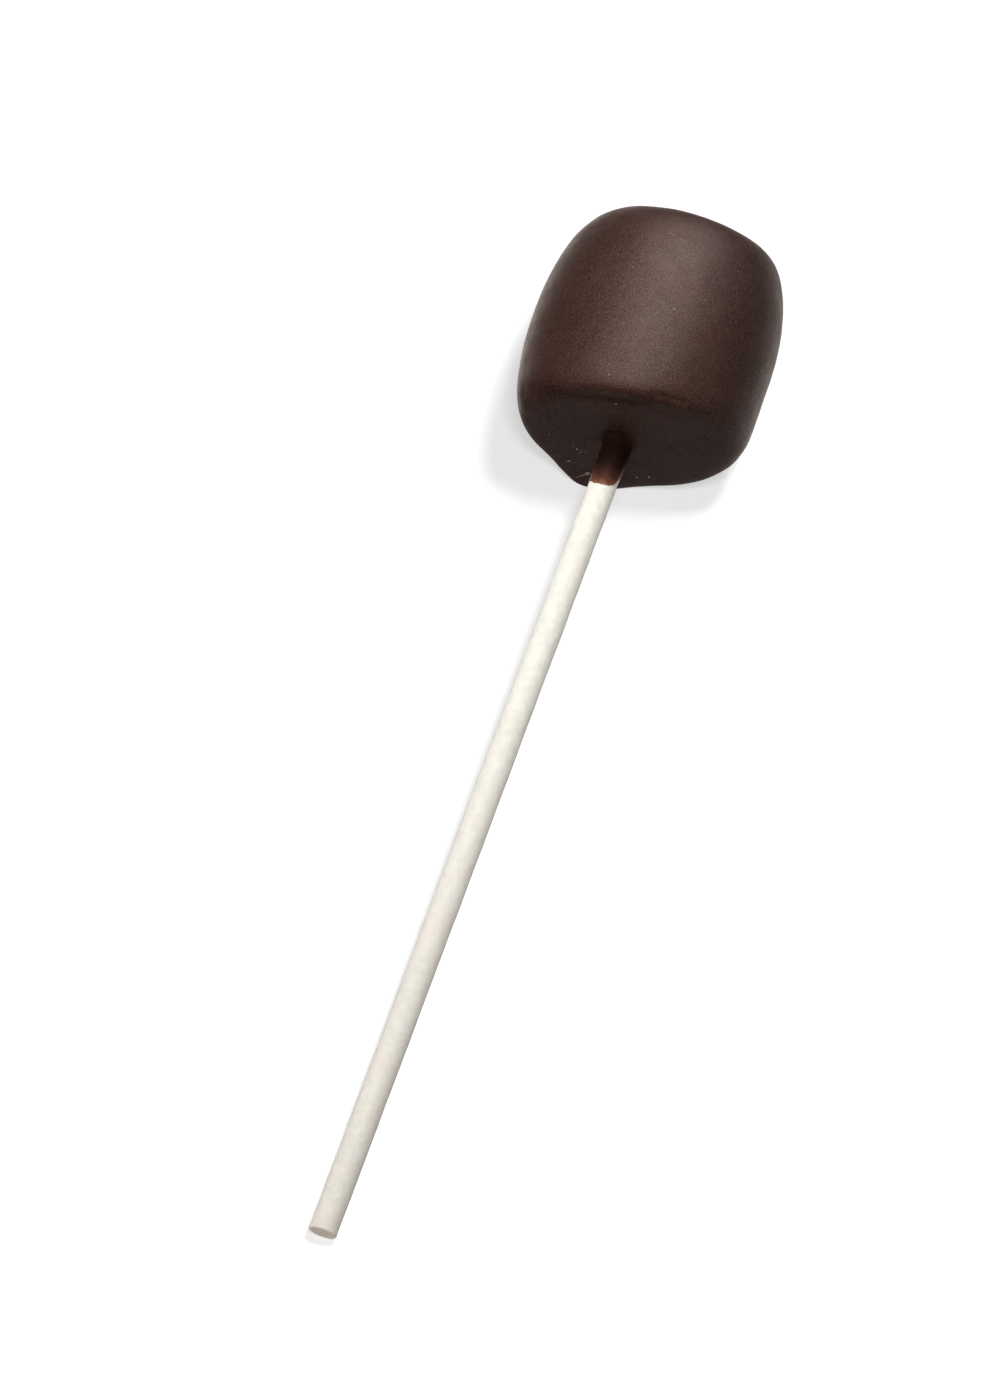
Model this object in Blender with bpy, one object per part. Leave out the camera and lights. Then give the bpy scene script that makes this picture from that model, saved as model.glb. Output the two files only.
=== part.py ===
"""Chocolate-coated marshmallow pop: a dipped marshmallow on a rolled paper stick.

The pop lies on its side.  The stick runs from -Y (free end) to +Y (marshmallow)
and climbs by a few degrees, because its free end and the flattened underside of
the marshmallow touch the same level surface, z = 0.

Frame of the pop: s along the stick from its free end, x across, t upwards and
square to the stick.  All sizes are in metres.
"""
import math

import bmesh
import bpy
import numpy as np
from mathutils import Vector

MM = 0.001

# ---------------------------------------------------------------- stick
STICK_DIA = 3.97 * MM          # 5/32 inch paper stick
STICK_LEN = 152.4 * MM         # 6 inch paper stick
STICK_EDGE = 0.12 * MM         # small rolled edge at both ends
STICK_SEGS = 32
TILT = math.radians(6.0)       # slope of the stick above the level surface

# ---------------------------------------------------------------- marshmallow
MID_S = 138.876 * MM           # widest ring, measured along the stick
HALF_FRONT = 15.538 * MM       # widest ring to the flat face at the stick
HALF_BACK = 18.763 * MM        # widest ring to the far end
HALF_WIDE = 17.534 * MM        # half width across
HALF_HIGH = 16.834 * MM        # half height
SIDE_SHIFT = -0.298 * MM       # the body sits a little off the stick, across
RISE = 0.214 * MM              # and upwards
ROUND_FRONT = 6.956            # superellipse power of the front rim
ROUND_FRONT_SIDE = -1.162      # its change from left to right
ROUND_FRONT_TOP = 13.0         # the front rim is crisper along the top
CORNER_CRISP = 14.35           # and at the lower left corner of the face
CORNER_AT = -107.7             # where that corner is, in degrees round the stick
CORNER_SPAN = 16.3
SWELL = 0.087                  # the rim swells a little there
SWELL_AT = -104.7
SWELL_SPAN = 11.3
FULL_SIDE = 0.022              # the rim is a little fuller low on the right
FULL_SIDE_AT = -45.0
FULL_SIDE_SPAN = 32.0
ROUND_BACK = 7.443             # superellipse power of the far rim
ROUND_BACK_SIDE = 2.628
ROUND_BACK_TOP = 0.822
TAPER_BACK_RIGHT = 0.273       # how much the far end draws in
TAPER_BACK_LEFT = 0.186
TAPER_FRONT_RIGHT = -0.015      # how much the front end draws in
TAPER_FRONT_LEFT = 0.151
LEAN_BACK = 0.144 * MM         # the far end leans to the right
FACE_SLOPE_X = 0.124           # slope of the front face across
FACE_SLOPE_T = 0.075           # slope of the front face upwards
BACK_SLOPE_X = -0.002          # slope of the far end across
BACK_SLOPE_T = -0.136          # slope of the far end upwards

# ---------------------------------------------------------------- neck of chocolate on the stick
BORE_GAP = 0.30 * MM           # play between the stick and its hole
NECK_WALL = 0.40 * MM          # wall of the chocolate sleeve
NECK_START = 116.10 * MM       # free edge of the sleeve, along the stick
NECK_FILLET = 1.90 * MM        # fillet between the sleeve and the face
DIMPLE_DEPTH = 0.45 * MM       # the face sinks a little round the stick
DIMPLE_WIDTH = 5.0 * MM

# ---------------------------------------------------------------- foot: chocolate that set on the level surface
FOOT_X = 0.50 * MM             # centre of the foot, in the frame of the stick's free end
FOOT_Y = 139.0 * MM
FOOT_SIDES = (                 # (direction of the side's normal in degrees, distance from the centre)
    (-70.02, 13.65 * MM),      # front side
    (-112.20, 17.15 * MM),     # front left side
    (180.0, 9.6 * MM),         # left
    (0.0, 8.2 * MM),           # right
    (90.0, 9.0 * MM),          # far side and its two corners
    (45.0, 8.5 * MM),
    (135.0, 9.1 * MM),
)
FOOT_CORNER = 24.0             # how crisp the corners of the foot are
FOOT_CORNER_BACK = 6.0         # and at the far side, where they are rounder
FOOT_EDGE = 0.50 * MM          # height of the foot's fullest edge
FOOT_TUCK = 0.30 * MM          # how far its edge draws in at the surface
FOOT_MELT = 0.80 * MM          # how softly the foot runs into the body
FOOT_LEAN = 0.35 * MM          # how far its wall leans in for each millimetre of height
FOOT_FADE = (3.0 * MM, 7.0 * MM)  # heights between which the foot ends

# ---------------------------------------------------------------- mesh density
AROUND = 72                    # points round the marshmallow
BODY_RINGS = 42                # rings from the face to the far end

# ---------------------------------------------------------------- centre of the whole pop on the surface
ORIGIN_X = -0.285 * MM
ORIGIN_Y = 79.23 * MM

STICK_R = STICK_DIA / 2.0
BORE_R = STICK_R + BORE_GAP
NECK_R = BORE_R + NECK_WALL
COS_T, SIN_T = math.cos(TILT), math.sin(TILT)


def place(x, s, t):
    """Frame of the pop to world: the free end's lowest point touches z = 0."""
    y = s * COS_T - t * SIN_T - ORIGIN_Y
    z = STICK_R * COS_T + s * SIN_T + t * COS_T
    return x - ORIGIN_X, y, z


def smooth(a, b, v):
    w = np.clip((v - a) / (b - a), 0.0, 1.0)
    return w * w * (3.0 - 2.0 * w)


def bell(theta, degrees, span):
    off = (np.degrees(theta) - degrees + 180.0) % 360.0 - 180.0
    return np.exp(-(off / span) ** 2)


def meridians(theta, front, count, start):
    """(r, z) of count rings on each direction's half outline, 0..1.

    r is the distance from the middle and z the distance from the widest ring; the
    rings share out each outline by length and by bending.
    """
    cx, sx = np.cos(theta), np.sin(theta)
    if front:
        power = ROUND_FRONT + ROUND_FRONT_SIDE * cx + ROUND_FRONT_TOP * np.clip(sx, 0.0, 1.0) ** (1.5 + 2.5 * np.clip(cx, 0.0, 1.0))
        power = power + CORNER_CRISP * bell(theta, CORNER_AT, CORNER_SPAN)
        half = HALF_FRONT
    else:
        power = ROUND_BACK + ROUND_BACK_SIDE * cx + ROUND_BACK_TOP * sx
        half = HALF_BACK
    r_out = np.zeros((count, len(theta)))
    z_out = np.zeros((count, len(theta)))
    for j, p in enumerate(power):
        beta = np.linspace(math.atan(start), math.pi / 2.0, 1400)
        d = (np.sin(beta) ** p + np.cos(beta) ** p) ** (1.0 / p)
        r, z = np.sin(beta) / d, np.cos(beta) / d
        dr, dz = np.diff(r) * HALF_WIDE, np.diff(z) * half
        heading = np.unwrap(np.arctan2(dz, dr))
        bend = np.abs(np.diff(heading, prepend=heading[0]))
        cost = np.hypot(dr, dz) / HALF_WIDE + 0.7 * bend
        cum = np.concatenate(([0.0], np.cumsum(cost)))
        b = np.interp(np.linspace(0.0, cum[-1], count), cum, beta)
        d = (np.sin(b) ** p + np.cos(b) ** p) ** (1.0 / p)
        r_out[:, j] = np.sin(b) / d
        z_out[:, j] = np.cos(b) / d
    return r_out, z_out


def face_height(x, t):
    """The flat front face, along the stick."""
    return MID_S - HALF_FRONT + FACE_SLOPE_X * (x - SIDE_SHIFT) + FACE_SLOPE_T * (t - RISE)


def skin(r, z, theta, front):
    """Point of the marshmallow's skin in the frame of the pop."""
    cx, sx = np.cos(theta), np.sin(theta)
    end = z ** 2
    right, left = 0.5 * (1.0 + cx), 0.5 * (1.0 - cx)
    if front:
        draw = (TAPER_FRONT_RIGHT * right + TAPER_FRONT_LEFT * left) * end
        draw_t = 0.5 * (TAPER_FRONT_RIGHT + TAPER_FRONT_LEFT) * end
        x = HALF_WIDE * r * cx * (1.0 - draw)
        t = HALF_HIGH * r * sx * (1.0 - draw_t)
        s = -HALF_FRONT * z + end * (FACE_SLOPE_X * x + FACE_SLOPE_T * t)
        swell = SWELL * bell(theta, SWELL_AT, SWELL_SPAN) + FULL_SIDE * bell(theta, FULL_SIDE_AT, FULL_SIDE_SPAN)
        swell = 1.0 + swell * end
        x, s, t = x * swell + SIDE_SHIFT, MID_S + s, t * swell + RISE
        # circles round the stick near the middle of the face
        near = 1.0 - smooth(4.0 * MM, 9.0 * MM, r * HALF_WIDE)
        x = x * (1.0 - near) + HALF_WIDE * r * cx * near
        t = t * (1.0 - near) + HALF_WIDE * r * sx * near
        s = s * (1.0 - near) + face_height(x, t) * near
        return x, s, t
    draw = (TAPER_BACK_RIGHT * right + TAPER_BACK_LEFT * left) * end
    draw_t = 0.5 * (TAPER_BACK_RIGHT + TAPER_BACK_LEFT) * end
    x = HALF_WIDE * r * cx * (1.0 - draw) + LEAN_BACK * end
    t = HALF_HIGH * r * sx * (1.0 - draw_t)
    s = HALF_BACK * z + end * (BACK_SLOPE_X * x + BACK_SLOPE_T * t)
    return x + SIDE_SHIFT, MID_S + s, t + RISE


def face_ring(radius, theta, lift):
    """Ring of the front face at a given distance from the stick's axis."""
    x = radius * np.cos(theta)
    t = radius * np.sin(theta)
    s = face_height(x, t) + DIMPLE_DEPTH * math.exp(-(radius / DIMPLE_WIDTH) ** 2) - lift
    return x, s, t


def foot_reach(phi):
    """Distance from the foot's centre to its outline, in the direction phi."""
    crisp = FOOT_CORNER_BACK + (FOOT_CORNER - FOOT_CORNER_BACK) * smooth(0.35, -0.35, np.sin(phi))
    total = np.zeros_like(phi)
    for degrees, dist in FOOT_SIDES:
        along = np.clip(np.cos(phi - math.radians(degrees)), 0.0, None) / dist
        total = total + along ** crisp
    reach = total ** (-1.0 / crisp)
    return reach * (1.0 + 0.010 * np.sin(5.0 * phi + 0.8) + 0.007 * np.sin(9.0 * phi + 2.1))


def spread_foot(x, y, z):
    """Push the skin near the surface outwards, where the soft chocolate spread."""
    cx, cy = FOOT_X - ORIGIN_X, FOOT_Y - ORIGIN_Y
    dx, dy = x - cx, y - cy
    rho = np.hypot(dx, dy)
    phi = np.arctan2(dy, dx)
    low = np.clip((FOOT_EDGE - z) / FOOT_EDGE, 0.0, 1.0)
    high = np.clip(z - FOOT_EDGE, 0.0, None) / MM
    reach = foot_reach(phi) - FOOT_TUCK * low ** 2 - FOOT_LEAN * high ** 1.25
    gap = rho - reach
    new = 0.5 * (rho + reach + np.sqrt(gap ** 2 + FOOT_MELT ** 2))
    fade = 1.0 - smooth(FOOT_FADE[0], FOOT_FADE[1], z)
    new = rho + (new - rho) * fade
    k = new / np.maximum(rho, 1e-9)
    return cx + dx * k, cy + dy * k, z


def clear_scene():
    for obj in list(bpy.data.objects):
        bpy.data.objects.remove(obj, do_unlink=True)


def material(name, colour, roughness, metallic=0.0):
    mat = bpy.data.materials.new(name)
    mat.use_nodes = True
    shader = mat.node_tree.nodes["Principled BSDF"]
    shader.inputs["Base Color"].default_value = (*colour, 1.0)
    shader.inputs["Roughness"].default_value = roughness
    shader.inputs["Metallic"].default_value = metallic
    mat.diffuse_color = (*colour, 1.0)
    return mat


def skin_rings(bm, rings, first=None, last=None):
    """Bridge rings of equal count into one skin, with a point at each end."""
    loops = [[bm.verts.new(p) for p in ring] for ring in rings]
    n = len(loops[0])
    for a, b in zip(loops[:-1], loops[1:]):
        for i in range(n):
            j = (i + 1) % n
            bm.faces.new((a[i], a[j], b[j], b[i]))
    for pole, loop, flip in ((first, loops[0], True), (last, loops[-1], False)):
        tip = bm.verts.new(pole)
        for i in range(n):
            j = (i + 1) % n
            bm.faces.new((tip, loop[j], loop[i]) if flip else (loop[i], loop[j], tip))


def finish(bm, name, mat, sharp_degrees):
    bmesh.ops.recalc_face_normals(bm, faces=bm.faces[:])
    mesh = bpy.data.meshes.new(name)
    bm.to_mesh(mesh)
    bm.free()
    mesh.materials.append(mat)
    mesh.shade_smooth()
    mesh.set_sharp_from_angle(angle=math.radians(sharp_degrees))
    obj = bpy.data.objects.new(name, mesh)
    bpy.context.scene.collection.objects.link(obj)
    return obj


def build_marshmallow(mat):
    theta = np.linspace(0.0, 2.0 * math.pi, AROUND, endpoint=False) - math.pi / 2.0
    rings = []

    def add(x, s, t, spread=False):
        x, s, t = np.broadcast_arrays(x, s, t)
        p = place(x, s, t)
        if spread:
            p = spread_foot(*p)
        rings.append(list(zip(*[c.tolist() for c in p])))

    # far end and side, from the middle of the far end down to the face
    r, z = meridians(theta, False, BODY_RINGS // 2, 0.17)
    for k in range(len(r)):
        add(*skin(r[k], z[k], theta, False), spread=True)
    r, z = meridians(theta, True, BODY_RINGS // 2, 7.5 * MM / HALF_WIDE)
    for k in range(len(r) - 2, -1, -1):
        add(*skin(r[k], z[k], theta, True), spread=True)
    # the face inside the rim, down to the fillet at the stick
    outer_x, outer_s, outer_t = skin(r[0], z[0], theta, True)
    near_x, near_s, near_t = face_ring(NECK_R + NECK_FILLET, theta, 0.0)
    mid = 0.5
    add(outer_x * (1 - mid) + near_x * mid, outer_s * (1 - mid) + near_s * mid, outer_t * (1 - mid) + near_t * mid)
    for k in range(5):
        a = math.radians(90.0) * k / 4.0
        radius = NECK_R + NECK_FILLET * (1.0 - math.sin(a))
        lift = NECK_FILLET * (1.0 - math.cos(a))
        add(*face_ring(radius, theta, lift))
    # the sleeve, its rounded edge and the hole for the stick
    base = face_ring(NECK_R, theta, NECK_FILLET)[1]
    for w in (0.5, 0.0):
        s = (NECK_START + 0.25 * MM) * (1 - w) + base * w
        add(NECK_R * np.cos(theta), s, NECK_R * np.sin(theta))
    for radius, back_off in ((NECK_R - 0.13 * MM, 0.0), (BORE_R + 0.07 * MM, 0.0), (BORE_R, 0.10 * MM)):
        add(radius * np.cos(theta), NECK_START + back_off, radius * np.sin(theta))
    hole_end = STICK_LEN + BORE_GAP
    for w in (0.33, 0.66, 1.0):
        s = NECK_START * (1 - w) + hole_end * w
        add(BORE_R * np.cos(theta), s, BORE_R * np.sin(theta))

    bm = bmesh.new()
    tip = place(SIDE_SHIFT + LEAN_BACK, MID_S + HALF_BACK, RISE)
    end = place(0.0, hole_end, 0.0)
    skin_rings(bm, rings, first=tip, last=end)

    # the flat underside where the soft chocolate set against the surface
    for v in bm.verts:
        if abs(v.co.z) < 0.08 * MM:
            v.co.z = 0.0
    geom = bm.verts[:] + bm.edges[:] + bm.faces[:]
    bmesh.ops.bisect_plane(bm, geom=geom, dist=1e-6, plane_co=Vector((0, 0, 0)),
                           plane_no=Vector((0, 0, -1)), clear_outer=True)
    rim = [e for e in bm.edges if e.is_boundary]
    for v in {v for e in rim for v in e.verts}:
        v.co.z = 0.0
    bmesh.ops.dissolve_degenerate(bm, dist=0.12 * MM, edges=rim)
    rim = [e for e in bm.edges if e.is_boundary]
    bmesh.ops.contextual_create(bm, geom=rim)
    bmesh.ops.triangulate(bm, faces=bm.faces[:])
    return finish(bm, "marshmallow", mat, 42.0)


def build_stick(mat):
    theta = np.linspace(0.0, 2.0 * math.pi, STICK_SEGS, endpoint=False) - math.pi / 2.0
    stations = ((0.0, STICK_R - STICK_EDGE), (STICK_EDGE, STICK_R), (STICK_LEN * 0.25, STICK_R),
                (STICK_LEN * 0.5, STICK_R), (STICK_LEN * 0.75, STICK_R),
                (STICK_LEN - STICK_EDGE, STICK_R), (STICK_LEN, STICK_R - STICK_EDGE))
    rings = [[(r * math.cos(a), s, r * math.sin(a)) for a in theta] for s, r in stations]
    bm = bmesh.new()
    skin_rings(bm, rings, first=(0, 0, 0), last=(0, STICK_LEN, 0))
    bmesh.ops.triangulate(bm, faces=bm.faces[:])
    obj = finish(bm, "stick", mat, 35.0)
    obj.rotation_euler = (TILT, 0.0, 0.0)
    obj.location = place(0.0, 0.0, 0.0)
    return obj


def main():
    clear_scene()
    chocolate = material("dark_chocolate", (0.048, 0.022, 0.015), 0.46)
    paper = material("white_paper", (0.86, 0.84, 0.78), 0.82)
    build_marshmallow(chocolate)
    build_stick(paper)
    bpy.context.view_layer.update()


main()
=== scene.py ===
"""Looks of the chocolate-coated marshmallow pop.

The dipped marshmallow with its film of chocolate on the stick, and the rolled
paper stick.  Crumbs, a shaving and a scuff lie on the chocolate.  Lengths are in
metres.
"""
import math

import bmesh
import bpy
import numpy as np
from mathutils import Matrix, Vector
from mathutils.bvhtree import BVHTree


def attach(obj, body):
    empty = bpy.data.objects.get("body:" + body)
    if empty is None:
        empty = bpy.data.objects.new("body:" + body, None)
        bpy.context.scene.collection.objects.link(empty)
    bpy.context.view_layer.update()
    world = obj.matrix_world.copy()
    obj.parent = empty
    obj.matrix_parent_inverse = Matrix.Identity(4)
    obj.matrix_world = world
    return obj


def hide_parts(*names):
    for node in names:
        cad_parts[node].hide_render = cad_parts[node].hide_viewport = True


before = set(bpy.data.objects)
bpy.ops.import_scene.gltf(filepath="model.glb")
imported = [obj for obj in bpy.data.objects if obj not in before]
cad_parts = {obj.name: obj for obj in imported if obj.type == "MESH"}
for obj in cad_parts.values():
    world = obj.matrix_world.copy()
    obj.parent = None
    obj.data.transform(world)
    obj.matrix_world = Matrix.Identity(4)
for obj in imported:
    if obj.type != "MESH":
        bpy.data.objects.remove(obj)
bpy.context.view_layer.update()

MM = 0.001

# ---------------------------------------------------------------- sizes
STICK_R = 1.985 * MM
STICK_LEN = 152.4 * MM
TILT = math.radians(6.0)
MID_S = 138.876 * MM
HALF_FRONT = 15.538 * MM
HALF_BACK = 18.763 * MM
HALF_WIDE = 17.534 * MM
HALF_HIGH = 16.834 * MM
SIDE_SHIFT = -0.298 * MM
RISE = 0.214 * MM
ROUND_FRONT = 6.956
ROUND_FRONT_SIDE = -1.162
ROUND_FRONT_TOP = 13.0
CORNER_CRISP, CORNER_AT, CORNER_SPAN = 14.35, -107.7, 16.3
SWELL, SWELL_AT, SWELL_SPAN = 0.087, -104.7, 11.3
FULL_SIDE, FULL_SIDE_AT, FULL_SIDE_SPAN = 0.022, -45.0, 32.0
ROUND_BACK = 7.443
ROUND_BACK_SIDE = 2.628
ROUND_BACK_TOP = 0.822
TAPER_BACK_RIGHT = 0.273
TAPER_BACK_LEFT = 0.186
TAPER_FRONT_RIGHT = -0.015
TAPER_FRONT_LEFT = 0.151
LEAN_BACK = 0.144 * MM
FACE_SLOPE_X = 0.124
FACE_SLOPE_T = 0.075
BACK_SLOPE_X = -0.002
BACK_SLOPE_T = -0.136
DIMPLE_DEPTH = 0.45 * MM
DIMPLE_WIDTH = 5.0 * MM
FOOT_X = 0.50 * MM
FOOT_Y = 139.0 * MM
FOOT_SIDES = (
    (-70.02, 13.65 * MM),
    (-112.20, 17.15 * MM),
    (180.0, 9.6 * MM),
    (0.0, 8.2 * MM),
    (90.0, 9.0 * MM),
    (45.0, 8.5 * MM),
    (135.0, 9.1 * MM),
)
FOOT_CORNER = 24.0
FOOT_CORNER_BACK = 6.0
FOOT_EDGE = 0.50 * MM
FOOT_LEAN = 0.35 * MM
FOOT_FADE = (3.0 * MM, 7.0 * MM)
FOOT_TUCK = 0.30 * MM
FOOT_MELT = 0.80 * MM
ORIGIN_X = -0.285 * MM
ORIGIN_Y = 79.23 * MM
COS_T, SIN_T = math.cos(TILT), math.sin(TILT)

# ---------------------------------------------------------------- sizes of the fine surface
AROUND = 384                   # points round the marshmallow
BACK_RINGS = 112
FRONT_RINGS = 96
FILLET_RINGS = 12
FILM_RINGS = 22
FILM_EDGE = 115.85 * MM        # free edge of the film of chocolate on the stick
FILM_THIN = 0.045 * MM         # its thickness there
FILM_THICK = 0.13 * MM         # and where it leaves the marshmallow
FILLET = 0.45 * MM

# ---------------------------------------------------------------- camera: the photograph's viewing angle
CAM_AZ = math.radians(19.3928)
CAM_EL = math.radians(62.0)
CAM_DIST = 1.0
CAM_AIM = Vector((-5.0485 * MM, 8.2474 * MM, 0.0))
FOCAL_PX = 7089.78
FRAME_W, FRAME_H = 1000.0, 1379.0
CAM_BACK = Vector((math.sin(CAM_AZ) * math.cos(CAM_EL), -math.cos(CAM_AZ) * math.cos(CAM_EL), math.sin(CAM_EL)))
CAM_RIGHT = Vector((math.cos(CAM_AZ), math.sin(CAM_AZ), 0.0))
CAM_UP = CAM_BACK.cross(CAM_RIGHT)
CAM_AT = CAM_AIM + CAM_BACK * CAM_DIST


def pixel_ray(px, py):
    """Direction from the camera through a point of the 1000 by 1379 frame."""
    d = CAM_RIGHT * ((px - FRAME_W / 2) / FOCAL_PX) + CAM_UP * ((FRAME_H / 2 - py) / FOCAL_PX) - CAM_BACK
    return d.normalized()


# ---------------------------------------------------------------- shape functions
def place(x, s, t):
    """Frame of the pop (across, along the stick, upwards) to the row frame."""
    y = s * COS_T - t * SIN_T - ORIGIN_Y
    z = STICK_R * COS_T + s * SIN_T + t * COS_T
    return x - ORIGIN_X, y, z


def smooth(a, b, v):
    w = np.clip((v - a) / (b - a), 0.0, 1.0)
    return w * w * (3.0 - 2.0 * w)


def bell(theta, degrees, span):
    off = (np.degrees(theta) - degrees + 180.0) % 360.0 - 180.0
    return np.exp(-(off / span) ** 2)


def ripple(p, wavelength, seed, count=26):
    """Smooth uneven field with about unit strength, the same on each run."""
    rng = np.random.default_rng(seed)
    d = rng.normal(size=(count, 3))
    d /= np.linalg.norm(d, axis=1, keepdims=True)
    k = 2.0 * math.pi / wavelength * rng.uniform(0.65, 1.35, count)
    phase = rng.uniform(0.0, 2.0 * math.pi, count)
    out = np.zeros(p.shape[:-1])
    for i in range(count):
        out += np.cos(p @ (d[i] * k[i]) + phase[i])
    return out * math.sqrt(2.0 / count)


def meridians(theta, front, count, start):
    """(r, z) of count rings on each direction's half outline, 0..1, evenly shared by length and bending."""
    cx, sx = np.cos(theta), np.sin(theta)
    if front:
        power = ROUND_FRONT + ROUND_FRONT_SIDE * cx + ROUND_FRONT_TOP * np.clip(sx, 0.0, 1.0) ** (1.5 + 2.5 * np.clip(cx, 0.0, 1.0))
        power = power + CORNER_CRISP * bell(theta, CORNER_AT, CORNER_SPAN)
        half = HALF_FRONT
    else:
        power = ROUND_BACK + ROUND_BACK_SIDE * cx + ROUND_BACK_TOP * sx
        half = HALF_BACK
    r_out = np.zeros((count, len(theta)))
    z_out = np.zeros((count, len(theta)))
    for j, p in enumerate(power):
        beta = np.linspace(math.atan(start), math.pi / 2.0, 1400)
        d = (np.sin(beta) ** p + np.cos(beta) ** p) ** (1.0 / p)
        r, z = np.sin(beta) / d, np.cos(beta) / d
        dr, dz = np.diff(r) * HALF_WIDE, np.diff(z) * half
        heading = np.unwrap(np.arctan2(dz, dr))
        bend = np.abs(np.diff(heading, prepend=heading[0]))
        cost = np.hypot(dr, dz) / HALF_WIDE + 0.5 * bend
        cum = np.concatenate(([0.0], np.cumsum(cost)))
        b = np.interp(np.linspace(0.0, cum[-1], count), cum, beta)
        d = (np.sin(b) ** p + np.cos(b) ** p) ** (1.0 / p)
        r_out[:, j] = np.sin(b) / d
        z_out[:, j] = np.cos(b) / d
    return r_out, z_out


def skin(r, z, theta, front):
    """Point of the marshmallow's smooth skin in the frame of the pop."""
    cx, sx = np.cos(theta), np.sin(theta)
    end = z ** 2
    right, left = 0.5 * (1.0 + cx), 0.5 * (1.0 - cx)
    if front:
        draw = (TAPER_FRONT_RIGHT * right + TAPER_FRONT_LEFT * left) * end
        draw_t = 0.5 * (TAPER_FRONT_RIGHT + TAPER_FRONT_LEFT) * end
        x = HALF_WIDE * r * cx * (1.0 - draw)
        t = HALF_HIGH * r * sx * (1.0 - draw_t)
        s = -HALF_FRONT * z + end * (FACE_SLOPE_X * x + FACE_SLOPE_T * t)
        swell = SWELL * bell(theta, SWELL_AT, SWELL_SPAN) + FULL_SIDE * bell(theta, FULL_SIDE_AT, FULL_SIDE_SPAN)
        swell = 1.0 + swell * end
        x, s, t = x * swell + SIDE_SHIFT, MID_S + s, t * swell + RISE
        near = 1.0 - smooth(4.0 * MM, 9.0 * MM, r * HALF_WIDE)
        x = x * (1.0 - near) + HALF_WIDE * r * cx * near
        t = t * (1.0 - near) + HALF_WIDE * r * sx * near
        s = s * (1.0 - near) + face_height(x, t) * near
        out = np.hypot(x, t)
        s = s + DIMPLE_DEPTH * np.exp(-(out / DIMPLE_WIDTH) ** 2) * smooth(0.6, 0.9, z)
        return x, s, t
    draw = (TAPER_BACK_RIGHT * right + TAPER_BACK_LEFT * left) * end
    draw_t = 0.5 * (TAPER_BACK_RIGHT + TAPER_BACK_LEFT) * end
    x = HALF_WIDE * r * cx * (1.0 - draw) + LEAN_BACK * end
    t = HALF_HIGH * r * sx * (1.0 - draw_t)
    s = HALF_BACK * z + end * (BACK_SLOPE_X * x + BACK_SLOPE_T * t)
    return x + SIDE_SHIFT, MID_S + s, t + RISE


def face_height(x, t):
    """The flat front face, along the stick."""
    return MID_S - HALF_FRONT + FACE_SLOPE_X * (x - SIDE_SHIFT) + FACE_SLOPE_T * (t - RISE)


def foot_reach(phi):
    crisp = FOOT_CORNER_BACK + (FOOT_CORNER - FOOT_CORNER_BACK) * smooth(0.35, -0.35, np.sin(phi))
    total = np.zeros_like(phi)
    for degrees, dist in FOOT_SIDES:
        along = np.clip(np.cos(phi - math.radians(degrees)), 0.0, None) / dist
        total = total + along ** crisp
    reach = total ** (-1.0 / crisp)
    return reach * (1.0 + 0.010 * np.sin(5.0 * phi + 0.8) + 0.007 * np.sin(9.0 * phi + 2.1))


def spread_foot(x, y, z):
    """Where the soft chocolate spread on the level surface."""
    cx, cy = FOOT_X - ORIGIN_X, FOOT_Y - ORIGIN_Y
    dx, dy = x - cx, y - cy
    rho = np.hypot(dx, dy)
    phi = np.arctan2(dy, dx)
    low = np.clip((FOOT_EDGE - z) / FOOT_EDGE, 0.0, 1.0)
    high = np.clip(z - FOOT_EDGE, 0.0, None) / MM
    reach = foot_reach(phi) - FOOT_TUCK * low ** 2 - FOOT_LEAN * high ** 1.25
    gap = rho - reach
    new = 0.5 * (rho + reach + np.sqrt(gap ** 2 + FOOT_MELT ** 2))
    fade = 1.0 - smooth(FOOT_FADE[0], FOOT_FADE[1], z)
    new = rho + (new - rho) * fade
    k = new / np.maximum(rho, 1e-9)
    return cx + dx * k, cy + dy * k, z


def film_edge(theta):
    """Where the film of chocolate ends on the stick, round the stick."""
    a = (np.degrees(theta) + 180.0) % 360.0 - 180.0
    rise = 2.45 * np.exp(-(a / 33.0) ** 2) + 0.22 * np.exp(-((a - 52.0) / 14.0) ** 2)
    left = np.abs((np.degrees(theta) - 180.0 + 180.0) % 360.0 - 180.0)
    rise += 0.55 * np.exp(-(left / 42.0) ** 2)
    under = np.abs((np.degrees(theta) - 275.0 + 180.0) % 360.0 - 180.0)
    rise += 0.75 * np.exp(-(under / 30.0) ** 2)
    rise += 0.05 * np.sin(5.0 * theta + 1.0) + 0.035 * np.sin(11.0 * theta + 0.3) + 0.02 * np.sin(23.0 * theta)
    return FILM_EDGE + rise * MM


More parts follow.
